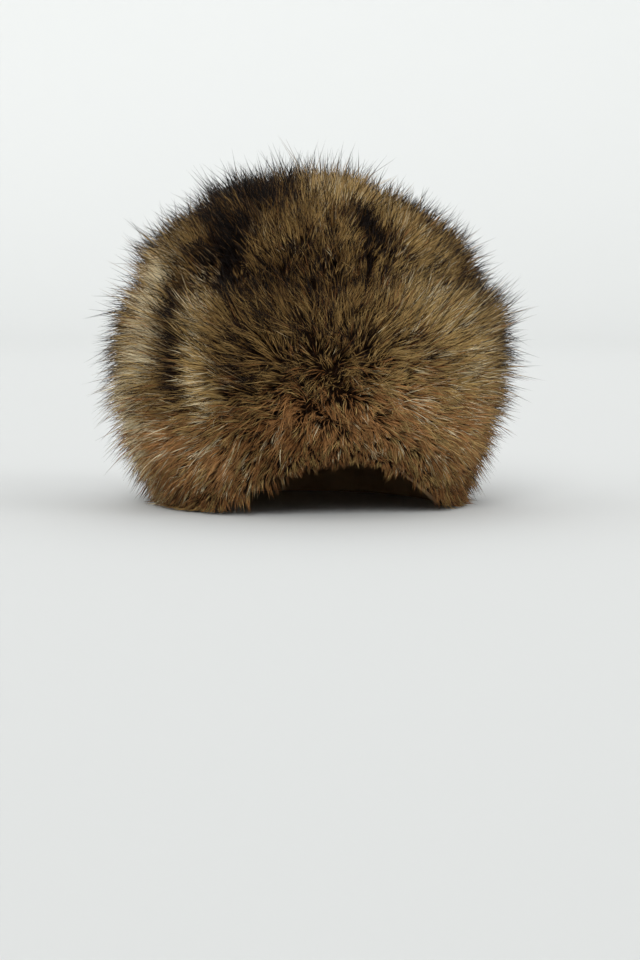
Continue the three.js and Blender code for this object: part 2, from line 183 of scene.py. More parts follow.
# Markings of the pelts, and painted shade along the furrows at the seams. Each runs from a start to an
# end where the dense fur shows: start, end and the reach that it fades over in metres, strength,
# shares of grizzled, dark, warm and cream hairs, and the change in how light they are
MARKINGS = {
    # Painted shade: dark hairs along the furrow between band and crown on the right
    "painted shade in the furrow on the right":
        ((-.103, -.012, .158), (-.083, -.058, .165), .010, .8, (.1, .9, 0, 0), -.25),
    # Painted shade: dark hairs along the furrow between band and crown in front
    "painted shade in the furrow in front":
        ((-.052, -.108, .154), (.060, -.098, .157), .0085, .9, (.15, .85, 0, 0), -.28),
    # Black guard hairs and painted shade where the crown's right furrow meets the band's furrow
    "black hairs and painted shade where the furrows meet":
        ((-.062, -.060, .172), (-.068, -.068, .150), .019, 1.0, (0, 1, 0, 0), -.5),
    # Dark hairs and painted shade along the crown's right furrow
    "dark tail of the blotch":
        ((-.073, -.011, .179), (-.068, -.046, .173), .011, .75, (.1, .9, 0, 0), -.3),
    "black notch":
        ((-.054, .006, .190), (-.034, -.046, .194), .021, 1.0, (0, 1, 0, 0), -.5),
    "light left lobe":
        ((-.009, -.046, .200), (.024, -.054, .194), .022, .9, (.77, .03, 0, .2), .38),
    "black edge of the left lobe":
        ((-.021, -.020, .200), (-.025, -.052, .196), .008, .95, (0, 1, 0, 0), -.45),
    "light slope on the left":
        ((.035, -.067, .183), (.060, -.084, .160), .018, .85, (.82, .08, 0, .1), .23),
    "dark mark on the left":
        ((.014, -.080, .184), (.022, -.092, .172), .011, 1.0, (.05, .95, 0, 0), -.45),
    "dark edge on the left":
        ((.062, -.049, .180), (.077, -.058, .164), .009, .6, (.3, .7, 0, 0), -.2),
    "light patch on the right":
        ((-.097, .006, .166), (-.088, -.027, .171), .011, .7, (.75, .15, 0, .1), .15),
    "light stripe":
        ((-.106, -.018, .148), (-.119, -.030, .108), .019, 1.0, (.08, .02, 0, .9), .66),
    "light stripe below":
        ((-.120, -.028, .108), (-.120, -.008, .048), .019, .95, (.26, .03, .05, .66), .6),
    # Dark hairs and painted shade along the furrow at the band's right seam
    "dark stripe":
        ((-.100, -.058, .134), (-.105, -.071, .077), .0095, 1.0, (.1, .9, 0, 0), -.32),
    "second light stripe":
        ((-.086, -.074, .143), (-.093, -.092, .068), .0125, .95, (.54, .03, .03, .4), .64),
    "small dark patch":
        ((-.119, -.024, .073), (-.118, -.021, .060), .007, .75, (.2, .8, 0, 0), -.2),
    "dark slope of the band":
        ((-.064, -.110, .128), (-.066, -.112, .088), .021, .7, (.48, .48, .04, 0), -.18),
    "mottled front":
        ((-.031, -.119, .135), (-.022, -.130, .080), .026, .75, (.46, .48, .06, 0), -.11),
    "light left of the band":
        ((.055, -.108, .134), (.089, -.091, .100), .028, .88, (.7, .03, .04, .23), .56),
    "dark tips on the left":
        ((.094, -.046, .140), (.110, -.050, .105), .010, .5, (.5, .5, 0, 0), -.15),
    "warm rim in front":
        ((-.040, -.130, .055), (.035, -.130, .055), .021, .95, (.03, .04, .93, 0), .3),
    "warm rim on the right":
        ((-.106, -.046, .039), (-.076, -.084, .029), .019, .9, (.1, .03, .7, .17), .6),
    "warm lower left":
        ((.038, -.125, .068), (.087, -.083, .045), .027, .9, (.34, .03, .49, .14), .6),
    "cream wisps":
        ((-.119, .007, .066), (-.104, .002, .015), .019, .9, (.1, .03, .12, .75), .48),
    "light tuft at the back":
        ((.038, .116, .105), (.030, .116, .040), .022, .7, (.7, .05, .12, .13), .25),
    "light flank of the back pelt":
        ((-.052, .106, .115), (-.048, .104, .040), .024, .7, (.65, .05, .15, .15), .25),
    "dark stripe down the back":
        ((.004, .052, .190), (-.004, .100, .152), .018, .8, (.2, .8, 0, 0), -.28),
    "dark stripe of the back pelt":
        ((-.008, .122, .135), (-.004, .124, .050), .013, .75, (.25, .75, 0, 0), -.22),
    "light stripe on the left":
        ((.100, .050, .140), (.112, .050, .045), .016, .8, (.6, .03, .05, .32), .35),
    "dark stripe on the left":
        ((.084, .076, .140), (.092, .082, .050), .010, .85, (.15, .85, 0, 0), -.25),
    "light slope at the back":
        ((-.060, .060, .168), (-.030, .088, .160), .018, .7, (.75, .1, .05, .1), .22),
}

# Colours of the kinds of hair, in the order of the shares: at the root, in the band and at the tip
HAIR_COLOURS = {
    "grizzled": ("#392415", "#d0b074", "#1a120d"),
    "dark": ("#1a110a", "#392514", "#0f0b08"),
    "warm": ("#463121", "#bf8d5a", "#5d432c"),
    "cream": ("#7d694c", "#f8e9c4", "#90744c"),
}
HAIR_PARTS = ("root", "band", "tip")

# How much of a hair's kind and lightness comes from its tuft, from itself and from its place
KIND_BY_TUFT, KIND_BY_HAIR, KIND_BY_PLACE = 0.6, 0.25, 0.1
TONE_MIDDLE, TONE_BY_TUFT, TONE_BY_HAIR = 0.5, 0.3, 0.2
# Painted shade of the furrow at the seam between band and crown: how much the hairs darken and how far
# from the seam
SEAM_PAINTED_SHADE, SEAM_PAINTED_SHADE_REACH = 0.2, 0.007

# Where hairs end along the colour bands: guard hairs from low fur to high fur, and underhairs
HIGH_FUR = (0.06, 0.12)
GUARD_END, GUARD_END_RISE = 0.84, 0.15
UNDERHAIR_END, UNDERHAIR_END_SPREAD = 0.54, 0.16

# Room on the hair map before a kind's first colour, and between the sides of a hair
MAP_MARGIN = 0.02
MAP_SPREAD = 0.004

# Where the root's colour, the band's and the tip's begin and end along a hair
HAIR_BANDS = ((0.002, 0.2), (0.4, 0.62), (0.78, 0.998))

# Shades that the hair colours are multiplied by, from the darkest hair to the lightest. Dark
# fur keeps more of its red.
HAIR_SHADES = [
    (0.0, (0.07, 0.05, 0.038)),
    (0.25, (0.24, 0.182, 0.136)),
    (0.5, (0.56, 0.497, 0.423)),
    (0.75, (0.8, 0.78, 0.74)),
    (1.0, (1.0, 1.0, 1.0)),
]

# Wool: how uneven its top is, the size of the lumps, and how far it covers the hairs' roots
WOOL_LUMPS = 0.06
WOOL_LUMP_SIZE = 0.012
WOOL_OVER_ROOTS = 1.1

# Shells are spun from a section whose climb is counted from a hub on the axis. The band's hub is
# past its top, so that its section is a ring.
BAND_HUB = 2.0
CROWN_HUB = 1.0
CLOSE = 1e-6

# The studio's floor and wall, and the painted glow that the paint gives of itself up the wall
FLOOR_RADIUS, BEND_RADIUS, WALL_HEIGHT = 3.4, 1.4, 1.7
BEND_STEPS = 16
PAINTED_GLOW_HEIGHT, PAINTED_GLOW_MOST = 1.2, 0.05

# Broad lights: name, the side that they shine from, strength and spread in degrees
LIGHTS = [
    ("key_screen", (-0.8, -2.2, 1.5), 1.26, 25),
    ("fill_screen", (1.9, -1.8, 1.25), 0.6, 30),
    ("back_screen", (0.3, 1.8, 2.0), 0.4, 35),
]
AIR_STRENGTH = 0.85

# The camera's aim, and 0.63 mm of the hat to a pixel of a frame 960 pixels high
AIM = Vector((0.0056, -0.0012, 0.0145))
PIXEL, FRAME_HEIGHT = 0.00063, 960

# Random starts
SEEDS = dict(crown=41, band=52, drift=63, whorl=64, wool=74, mottle=85, kinds=86)


def smoothstep(value, low, high):
    """Smooth rise from 0 at low to 1 at high."""
    along = np.clip((value - low) / (high - low), 0, 1)
    return along * along * (3 - 2 * along)


def length_of(vectors):
    """Lengths of the vectors in the last axis, kept as a column."""
    return np.linalg.norm(vectors, axis=-1, keepdims=True)


def unit(vectors):
    """The vectors at length 1."""
    return vectors / np.maximum(length_of(vectors), 1e-9)


def square_to(vectors, direction):
    """The vectors without their part along a direction of length 1."""
    return vectors - direction * (vectors * direction).sum(-1, keepdims=True)


class Outline:
    """A smooth line through rows of (out, up), walked by its share of the way along."""

    def __init__(self, rows, steps=400):
        knots = np.array(rows)
        last = len(knots) - 1
        place = np.linspace(0, last, steps + 1)
        low = np.minimum(place.astype(int), last - 1)
        t = (place - low)[:, None]
        before, here = knots[np.maximum(low - 1, 0)], knots[low]
        after, beyond = knots[low + 1], knots[np.minimum(low + 2, last)]
        leave, arrive = (after - before) / 2, (beyond - here) / 2
        self.points = (
            (2 * here - 2 * after + leave + arrive) * t**3
            + (3 * after - 3 * here - 2 * leave - arrive) * t**2
            + leave * t
            + here
        )
        runs = np.linalg.norm(np.diff(self.points, axis=0), axis=1)
        self.climbs = np.concatenate(([0], np.cumsum(runs))) / runs.sum()

    def at(self, climb):
        """Out and up at a climb from 0 to 1."""
        out = np.interp(climb, self.climbs, self.points[:, 0])
        return out, np.interp(climb, self.climbs, self.points[:, 1])


def brow_arch(angle):
    """Share of the arch that is felt at an angle round the head."""
    turn = np.arctan2(np.sin(angle), np.cos(angle)) / BROW_HALF_ANGLE
    return np.where(np.abs(turn) < 1, (1 + np.cos(np.pi * turn)) / 2, 0)


class Region:
    """The band or the crown. climb goes up its outline, angle from the brow to the left."""

    def __init__(self, leather, fur, arched):
        self.leather = Outline(leather)
        self.fur = Outline(fur)
        self.arched = arched

    def place(self, outline, climb, angle, half_width, half_depth, height, rise):
        """Points at a climb and an angle on an outline of the given sizes."""
        out, up = outline.at(climb)
        arch = self.arched * rise * (1 - climb) ** ARCH_FADE * brow_arch(angle)
        return np.stack(
            [half_width * out * np.sin(angle), -half_depth * out * np.cos(angle), height * up + arch],
            axis=-1,
        )

    def leather_at(self, climb, angle, layer):
        """Points of the leather, a layer outside its inner face."""
        return self.place(
            self.leather, climb, angle,
            HEAD_HALF_WIDTH + layer, HEAD_HALF_DEPTH + layer, HOLLOW_DEPTH + layer, BROW_RISE,
        )

    def foot(self, climb, angle):
        """Points where the fur leaves the leather."""
        points = self.leather_at(climb, angle, LEATHER_WALL + FUR_CLEARANCE)
        points[..., 2] = np.maximum(points[..., 2], FLOOR_CLEARANCE)
        return points

    def tip(self, climb, angle):
        """Points on the mean surface of the hair tips."""
        return self.place(
            self.fur, climb, angle,
            TIP_HALF_WIDTH, TIP_HALF_DEPTH, TIP_HEIGHT, BROW_RISE - BROW_OVERHANG,
        )

    def length_up(self, surface):
        """Length of a surface's line up the wearer's left side."""
        side = surface(np.linspace(0, 1, 41), np.full(41, np.pi / 2))
        return float(length_of(np.diff(side, axis=0)).sum())

    def from_edge(self, climb):
        """Distance from the seam between band and crown, along the tips."""
        return ((1 - climb) if self.arched else climb) * self.length_up(self.tip)


BAND = Region(BAND_LEATHER, BAND_FUR, arched=1)
CROWN = Region(CROWN_LEATHER, CROWN_FUR, arched=0)


def crown_plane(side):
    """Normal towards the wearer's left and offset of a crown seam's upright plane."""
    across, turn = CROWN_SEAMS[side]
    normal = np.array([math.cos(turn), -math.sin(turn), 0])
    return normal, normal[0] * across * TIP_HALF_WIDTH


def band_plane(side):
    """Normal and outward direction of a band seam's upright plane."""
    angle = BAND_SEAMS[side]
    along = unit(np.array([TIP_HALF_WIDTH * math.sin(angle), -TIP_HALF_DEPTH * math.cos(angle), 0]))
    return np.array([-along[1], along[0], 0]), along


def hollowing(distance, reach):
    """A smooth dip that is 1 in the middle."""
    return np.exp(-((distance / reach) ** 2))


def loft(region, climb, angle):
    """Share of its full depth that the fur keeps in furrows and dents."""
    points = region.tip(climb, angle)
    kept = 1 - EDGE_FURROW[0] * hollowing(region.from_edge(climb), EDGE_FURROW[1])
    if region is CROWN:
        for side in CROWN_SEAMS:
            normal, offset = crown_plane(side)
            furrow, half_width = CROWN_FURROWS[side]
            kept -= furrow * hollowing(points @ normal - offset, half_width)
    else:
        for side in BAND_SEAMS:
            normal, along = band_plane(side)
            near = hollowing(points @ normal, BAND_FURROW[1]) * (points @ along > 0)
            kept -= BAND_FURROW[0] * near
    sizes = np.array([TIP_HALF_WIDTH, TIP_HALF_DEPTH, TIP_HEIGHT])
    for middle, reach, depth in DENTS:
        away = np.linalg.norm(points - np.array(middle) * sizes, axis=-1)
        kept -= depth * hollowing(away, reach * TIP_HALF_WIDTH)
    return kept


def drift(points, wavelength, seed):
    """A slow random change from place to place, about -1 to 1, three values at each point."""
    rng = np.random.default_rng(seed)
    total = np.zeros(points.shape)
    for _ in range(DRIFT_WAVES):
        wave = unit(rng.normal(size=(3,))) * 2 * np.pi / (wavelength * rng.uniform(*WAVE_SPREAD))
        phase = rng.uniform(0, 2 * np.pi, 3)
        total += np.sin((points @ wave)[:, None] + phase)
    return total / math.sqrt(DRIFT_WAVES)


# Colours and finishes


def linear(text):
    """A colour that is given as sRGB hex, in linear values."""
    parts = [int(text[i:i + 2], 16) / 255 for i in (1, 3, 5)]
    return tuple(p / 12.92 if p <= 0.04045 else ((p + 0.055) / 1.055) ** 2.4 for p in parts)


def colour_setting(name, text, use):
    """A colour that a user can change."""
    return bpy.props.FloatVectorProperty(
        name=name, description=use, subtype="COLOR", size=3, min=0, max=1, default=linear(text)
    )


def length_setting(name, value, use):
    """A length that a user can change."""
    return bpy.props.FloatProperty(name=name, description=use, default=value, min=0, unit="LENGTH")


def share_setting(name, value, use):
    """A share from 0 to 2 that a user can change."""
    return bpy.props.FloatProperty(
        name=name, description=use, default=value, min=0, max=2, subtype="FACTOR"
    )


def count_setting(name, value, use):
    """A number of pieces that a user can change."""
    return bpy.props.IntProperty(name=name, description=use, default=value, min=1)


def angle_setting(name, degrees, use):
    """An angle that a user can change."""
    return bpy.props.FloatProperty(
        name=name, description=use, default=math.radians(degrees), subtype="ANGLE"
    )


class FurSettings(bpy.types.PropertyGroup):
    """Sizes of the hairs."""

    underhair_per_cm2: count_setting("Underhair", 51, "Underhairs to a square centimetre of fur")
    guard_per_cm2: count_setting("Guard hair", 16, "Guard hairs to a square centimetre of fur")
    underhair_width: length_setting("Underhair width", 0.00066, "Widest part of an underhair")
    guard_width: length_setting("Guard hair width", 0.0005, "Widest part of a guard hair")
    tuft_spacing: length_setting("Tuft spacing", 0.0028, "Distance between the small tufts")
    root_depth: share_setting("Root depth", 0.42, "Where hairs leave the wool, as a share of the fur")
    underhair_reach: share_setting("Underhair reach", 0.75, "Where underhairs end, as a share of the fur")
    guard_reach: share_setting("Guard reach", 0.93, "Where guard hairs end, as a share of the fur")
    gathering: share_setting("Gathering", 0.48, "How far the tips of a tuft draw together")


class HairColours(bpy.types.PropertyGroup):
    """Colours of the kinds of hair, such as grizzled_root."""

    __annotations__ = {
        f"{kind}_{part}": colour_setting(f"{kind} {part}".capitalize(), text, f"A {kind} hair's {part}")
        for kind, colours in HAIR_COLOURS.items() for part, text in zip(HAIR_PARTS, colours)
    }


class LeatherSettings(bpy.types.PropertyGroup):
    """Colours of the pelt leather and of the wool on its other side."""

    leather: colour_setting("Leather", "#a3835f", "Flesh side of the tanned pelt")
    worn: colour_setting("Worn leather", "#846646", "Handled patches of the leather")
    wool: colour_setting("Wool", "#2a190d", "Dense wool under the hairs")


class StageSettings(bpy.types.PropertyGroup):
    """The studio round the hat."""

    sweep: colour_setting("Sweep", "#d2d4d3", "Painted floor and wall")
    distance: length_setting("Camera distance", 1.8, "From the camera to the hat")
    azimuth: angle_setting("Azimuth", -12, "Camera angle round the hat")
    elevation: angle_setting("Elevation", 4.5, "Camera angle above the floor")


def add_node(tree, kind, inputs=None, links=None, **settings):
    """Adds a node with its settings, input values and links from (node, socket)."""
    node = tree.nodes.new(kind)
    for name, value in settings.items():
        setattr(node, name, value)
    for socket, value in (inputs or {}).items():
        node.inputs[socket].default_value = value
    for socket, (source, output) in (links or {}).items():
        tree.links.new(source.outputs[output], node.inputs[socket])
    return node


def new_material(name):
    """An empty node material and its tree."""
    material = bpy.data.materials.new(name)
    material.use_nodes = True
    material.node_tree.nodes.clear()
    return material, material.node_tree


def add_noise(tree, size, detail, roughness):
    """Adds noise of a size in metres, laid out on the object itself."""
    place = add_node(tree, "ShaderNodeTexCoord")
    return add_node(
        tree, "ShaderNodeTexNoise", inputs={"Scale": 1 / size, "Detail": detail, "Roughness": roughness},
        links={"Vector": (place, "Object")},
    )


def add_surface(tree, inputs, links):
    """Adds the shader of a surface and the output that shows it."""
    shader = add_node(tree, "ShaderNodeBsdfPrincipled", inputs, links)
    add_node(tree, "ShaderNodeOutputMaterial", links={"Surface": (shader, "BSDF")})


def add_ramp(tree, source, stops):
    """Adds a colour ramp on a (node, socket), with stops of (position, colour)."""
    ramp = add_node(tree, "ShaderNodeValToRGB", links={"Fac": source})
    elements = ramp.color_ramp.elements
    while len(elements) > 1:
        elements.remove(elements[-1])
    elements[0].position, elements[0].color = stops[0][0], (*stops[0][1], 1)
    for position, value in stops[1:]:
        elements.new(position).color = (*value, 1)
    return ramp


def hair_material(colours):
    """Raccoon hair, dressed and combed: a smooth cuticle gives it a soft gleam.

    The hair map's V holds the kind of hair and the place along it, and U how light it is.
    """
    material, tree = new_material("raccoon hair")
    stops = []
    for number, kind in enumerate(HAIR_COLOURS):
        for part, ends in zip(HAIR_PARTS, HAIR_BANDS):
            value = getattr(colours, f"{kind}_{part}")
            stops += [((number + along) / len(HAIR_COLOURS), value) for along in ends]
    hair_map = add_node(tree, "ShaderNodeUVMap", uv_map="HairMap")
    split = add_node(tree, "ShaderNodeSeparateXYZ", links={"Vector": (hair_map, "UV")})
    bands = add_ramp(tree, (split, "Y"), stops)
    shade = add_ramp(tree, (split, "X"), HAIR_SHADES)
    shaded = add_node(
        tree, "ShaderNodeMix", data_type="RGBA", blend_type="MULTIPLY", inputs={"Factor": 1},
    )
    tree.links.new(bands.outputs["Color"], shaded.inputs[6])
    tree.links.new(shade.outputs["Color"], shaded.inputs[7])
    add_surface(
        tree, {"Roughness": 0.55, "IOR": 1.55, "Specular IOR Level": 0.12},
        links={"Base Color": (shaded, 2)},
    )
    return material


def wool_material(settings):
    """Raccoon underwool, dense and matt: fine crimped tufts about 2 mm apart."""
    material, tree = new_material("raccoon underwool")
    tufts = add_noise(tree, size=0.002, detail=4, roughness=0.65)
    base = np.array(settings.wool)
    tone = add_ramp(tree, (tufts, "Fac"), [(0.3, base * 0.35), (0.55, base), (0.75, base * 1.5)])
    relief = add_node(
        tree, "ShaderNodeBump", {"Strength": 0.8, "Distance": 0.001}, links={"Height": (tufts, "Fac")}
    )
    add_surface(
        tree, {"Roughness": 0.95, "Specular IOR Level": 0.1},
        links={"Base Color": (tone, "Color"), "Normal": (relief, "Normal")},
    )
    return material


def leather_material(settings):
    """Tanned pelt leather, flesh side out: matt, with handled patches about 3 cm wide.

    Its nap is drawn 0.8 mm coarse, the finest that shows.
    """
    material, tree = new_material("tanned pelt leather")
    patches = add_noise(tree, size=0.03, detail=5, roughness=0.6)
    nap = add_noise(tree, size=0.0008, detail=3, roughness=0.7)
    tone = add_ramp(tree, (patches, "Fac"), [(0.35, settings.worn), (0.62, settings.leather)])
    dull = add_node(
        tree, "ShaderNodeMapRange",
        inputs={"From Min": 0.3, "From Max": 0.7, "To Min": 0.7, "To Max": 0.95},
        links={"Value": (patches, "Fac")},
    )
    relief = add_node(
        tree, "ShaderNodeBump", {"Strength": 0.5, "Distance": 0.0003}, links={"Height": (nap, "Fac")}
    )
    add_surface(
        tree, {"Specular IOR Level": 0.3},
        links={
            "Base Color": (tone, "Color"),
            "Roughness": (dull, "Result"),
            "Normal": (relief, "Normal"),
        },
    )
    return material


def sweep_material(settings):
    """Matt emulsion paint on the studio floor and wall, with a painted glow that grows up the wall."""
    material, tree = new_material("matt white emulsion")
    place = add_node(tree, "ShaderNodeTexCoord")
    split = add_node(tree, "ShaderNodeSeparateXYZ", links={"Vector": (place, "Object")})
    # Painted glow: the paint gives off light of its own, none on the floor and more higher up the wall
    painted_glow = add_node(
        tree, "ShaderNodeMapRange", interpolation_type="SMOOTHSTEP",
        inputs={"From Min": 0.0, "From Max": PAINTED_GLOW_HEIGHT, "To Min": 0.0, "To Max": PAINTED_GLOW_MOST},
        links={"Value": (split, "Z")},
    )
    add_surface(
        tree,
        inputs={
            "Base Color": (*settings.sweep, 1), "Roughness": 0.9, "Specular IOR Level": 0.1,
            "Emission Color": (1, 1, 1, 1),
        },
        links={"Emission Strength": (painted_glow, "Result")},
    )
    return material


def add_object(mesh, material):
    """An object at the origin for a finished mesh, with the mesh's name."""
    piece = bpy.data.objects.new(mesh.name, mesh)
    bpy.context.scene.collection.objects.link(piece)
    mesh.materials.append(material)
    return piece


def add_piece(mesh, material, node):
    """Adds a mesh that rides on the hat in place of a CAD node, and hides that node."""
    piece = add_object(mesh, material)
    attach(piece, "root")
    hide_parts(node)


def mesh_from(shape, name):
    """Turns a bmesh into a mesh, with its faces outwards."""
    bmesh.ops.recalc_face_normals(shape, faces=shape.faces[:])
    mesh = bpy.data.meshes.new(name)
    shape.to_mesh(mesh)
    shape.free()
    mesh.shade_smooth()
    return mesh


def add_fur(mesh, material):
    """Adds wool or hair in place of its pelt's fur: crown_left_wool goes to crown_fur_left."""
    region, side = mesh.name.split("_")[:2]
    add_piece(mesh, material, f"{region}_fur_{side}")


# Shells: a section is drawn by climb and layer, spun round the head and then laid on the hat


def fill_holes(shape):
    """Closes each open edge of a bmesh with a face."""
    open_edges = [edge for edge in shape.edges if edge.is_boundary]
    bmesh.ops.holes_fill(shape, edges=open_edges, sides=0)


def spun_section(section, hub, start, end, columns):
    """Spins a closed section of (climb, layer) rows; hub is the climb that lies on the axis."""
    shape = bmesh.new()
    verts = []
    for climb, layer in section:
        radius = hub - climb
        verts.append(shape.verts.new((radius * math.sin(start), -radius * math.cos(start), layer)))
    edges = [shape.edges.new((verts[i], verts[i + 1])) for i in range(len(verts) - 1)]
    full_turn = end - start > 2 * math.pi - CLOSE
    if hub == BAND_HUB:
        edges.append(shape.edges.new((verts[-1], verts[0])))
    bmesh.ops.spin(
        shape, geom=verts + edges, cent=(0, 0, 0), axis=(0, 0, 1), angle=end - start,
        steps=columns, use_merge=full_turn,
    )
    bmesh.ops.remove_doubles(shape, verts=shape.verts[:], dist=CLOSE)
    if not full_turn:
        fill_holes(shape)
    return shape


def lay_on_hat(shape, hub, middle_angle, place):
    """Moves each vertex of a spun section to where place(climb, angle, layer) says."""
    rows = np.array([vert.co for vert in shape.verts])
    climb = np.clip(hub - np.hypot(rows[:, 0], rows[:, 1]), 0, 1)
    turn = np.arctan2(rows[:, 0], -rows[:, 1]) - middle_angle
    angle = middle_angle + np.arctan2(np.sin(turn), np.cos(turn))
    for vert, point in zip(shape.verts, place(climb, angle, rows[:, 2])):
        vert.co = point


def spun_crown(edge, steps, columns, place):
    """A dome of two layers from a climb at its edge to its top, laid on the hat."""
    climbs = np.linspace(edge, 1, steps)
    section = [(climb, 0) for climb in climbs[::-1]] + [(climb, 1) for climb in climbs]
    shape = spun_section(section, CROWN_HUB, 0, 2 * math.pi, columns)
    lay_on_hat(shape, CROWN_HUB, math.pi, place)
    return shape


def leather_band_mesh():
    """The band's leather with its rim turned in as a hem and its edges rounded."""
    wall_length = BAND.length_up(BAND.foot)
    top = 1 - SEAM_GAP / 2 / wall_length
    hem = HEM_HEIGHT / wall_length
    rounding = 0.02
    section = [(climb, 1) for climb in np.linspace(rounding, top, 15)]
    section += [(climb, 0) for climb in np.linspace(top, hem * 1.25, 13)]
    section += [(hem * 1.08, -0.3), (hem, -0.8), (hem * 0.9, -1)]
    section += [(rounding * 1.5, -1), (0, -0.8), (0, 0.8)]
    shape = spun_section(section, BAND_HUB, 0, 2 * math.pi, columns=120)
    lay_on_hat(
        shape, BAND_HUB, math.pi,
        lambda climb, angle, layer: BAND.leather_at(
            climb, angle, np.where(layer > 0, layer * LEATHER_WALL, layer * HEM_LAYER)
        ),
    )
    return mesh_from(shape, "leather_band")


def leather_crown_mesh():
    """The crown's leather, a thin dome."""
    shape = spun_crown(
        SEAM_GAP / 2 / CROWN.length_up(CROWN.foot), steps=20, columns=96,
        place=lambda climb, angle, layer: CROWN.leather_at(climb, angle, layer * LEATHER_WALL),
    )
    return mesh_from(shape, "leather_crown")


def wool_place(region, reach):
    """Where a point of the wool lies: on the leather at layer 0, at its lumpy top at layer 1."""

    def place(climb, angle, layer):
        foot, tip = region.foot(climb, angle), region.tip(climb, angle)
        lumps = 1 + WOOL_LUMPS * drift(tip, WOOL_LUMP_SIZE, SEEDS["wool"])[:, :1]
        depth = layer[:, None] * reach * loft(region, climb, angle)[:, None] * lumps
        points = foot + (tip - foot) * depth
        points[:, 2] = np.maximum(points[:, 2], FLOOR_CLEARANCE)
        return points

    return place


def wool_band_mesh(name, start, end, reach):
    """Wool under the band's hairs between two seams."""
    margin = SEAM_GAP / 2
    edge = margin / BAND.length_up(BAND.tip)
    climbs = np.linspace(edge, 1 - edge, 15)
    section = [(climb, 1) for climb in climbs] + [(climb, 0) for climb in climbs[::-1]]
    turn = margin / HEAD_HALF_WIDTH
    full_turn_columns = 110
    columns = round((end - start) / (2 * math.pi) * full_turn_columns)
    shape = spun_section(section, BAND_HUB, start + turn, end - turn, columns)
    lay_on_hat(shape, BAND_HUB, (start + end) / 2, wool_place(BAND, reach))
    return mesh_from(shape, name)


def wool_crown_mesh(name, sides, reach):
    """Wool under the crown's hairs, cut at the seams: sides of (seam, side that goes)."""
    edge = SEAM_GAP / 2 / CROWN.length_up(CROWN.tip)
    shape = spun_crown(edge, steps=16, columns=90, place=wool_place(CROWN, reach))
    fill_holes(shape)
    for seam, goes in sides:
        normal, offset = crown_plane(seam)
        away = 1 if goes == "left" else -1
        point = normal * (offset - away * SEAM_GAP / 2)
        cut = bmesh.ops.bisect_plane(
            shape, geom=shape.verts[:] + shape.edges[:] + shape.faces[:], plane_co=Vector(point),
            plane_no=Vector(normal * away), clear_outer=True,
        )
        rim = [part for part in cut["geom_cut"] if isinstance(part, bmesh.types.BMEdge)]
        bmesh.ops.triangle_fill(shape, edges=rim, use_beauty=True)
    return mesh_from(shape, name)


# Hairs


def scatter_roots(region, count, rng):
    """Climbs and angles of roots that are spread evenly over the fur."""
    tries = 4 * count
    climb = rng.random(tries)
    angle = rng.uniform(-np.pi, np.pi, tries)
    step = 1e-3
    here = region.tip(climb, angle)
    up = region.tip(np.clip(climb + step, 0, 1), angle) - here
    along = region.tip(climb, angle + step) - here
    area = np.linalg.norm(np.cross(up, along), axis=1)
    kept = np.flatnonzero(rng.random(tries) < area / area.max())[:count]
    if len(kept) < count:
        raise RuntimeError(f"only {len(kept)} of {count} roots were found")
    return climb[kept], angle[kept]


def fur_area(region):
    """Area of the surface of the tips, in square centimetres."""
    climb, angle = np.meshgrid(np.linspace(0, 1, 61), np.linspace(-np.pi, np.pi, 181), indexing="ij")
    points = region.tip(climb, angle)
    up = points[1:, :-1] - points[:-1, :-1]
    along = points[:-1, 1:] - points[:-1, :-1]
    return float(np.linalg.norm(np.cross(up, along), axis=-1).sum()) * 1e4


def lie(region, climb, angle, points, out):
    """How far the hairs lean from upright, as vectors along the fur."""
    if region is CROWN:
        outwards = np.stack([np.sin(angle), -np.cos(angle), np.zeros_like(angle)], -1)
        lean = outwards * (CROWN_FAN * np.sqrt(1 - climb))[:, None]
    else:
        away = square_to(points - WHORL, out)
        distance = length_of(away)
        away = unit(away) * smoothstep(distance, 0, WHORL_REACH)
        facing = np.cos(angle)
        upward = away[:, 2] * smoothstep(facing, *FACING_LIFTS_UP)
        away[:, 2] = np.where(away[:, 2] > 0, upward, away[:, 2])
        front = smoothstep(facing, *FACING_PARTS)[:, None]
        side = np.stack([np.cos(angle), np.sin(angle), np.zeros_like(angle)], -1)
        hang = np.array([0, 0, -BACK_HANG]) + side * (BACK_SWEEP * np.sign(np.sin(angle)))[:, None]
        lean = PARTING * away * front + hang * (1 - front)
        lifted = smoothstep(facing, *FACING_LIFTS) * smoothstep(points[:, 2], *HEIGHT_LIFTS)
        lean[:, 2] += FRONT_LIFT * lifted
        mix = drift(points, DRIFT_LENGTH, SEEDS["whorl"]) * (1 - smoothstep(distance, 0, WHORL_REACH))
        lean += WHORL_MIX * square_to(mix, out)
        low = smoothstep(LOW_TOP - climb, 0, LOW_RANGE) * np.clip(points[:, 2] / FLOOR_EASE, 0, 1)
        lean[:, 2] -= (RIM_HANG + (BROW_HANG - RIM_HANG) * brow_arch(angle)) * low

        # Hairs at the rim's edge turn over it, square to its line
        rim_line = region.foot(np.zeros_like(climb), angle + RIM_STEP)
        rim_line -= region.foot(np.zeros_like(climb), angle - RIM_STEP)
        over_rim = unit(np.cross(out, rim_line))
        over_rim *= -np.sign(over_rim[:, 2:])
        at_rim = (1 - smoothstep(climb, *CLIMB_OVER_RIM))[:, None]
        lean += (OVER_RIM * over_rim - lean) * at_rim
    edge = smoothstep(region.from_edge(climb), *EDGE_RANGE)[:, None]
    return lean * (SEAM_LEAN + (1 - SEAM_LEAN) * edge)


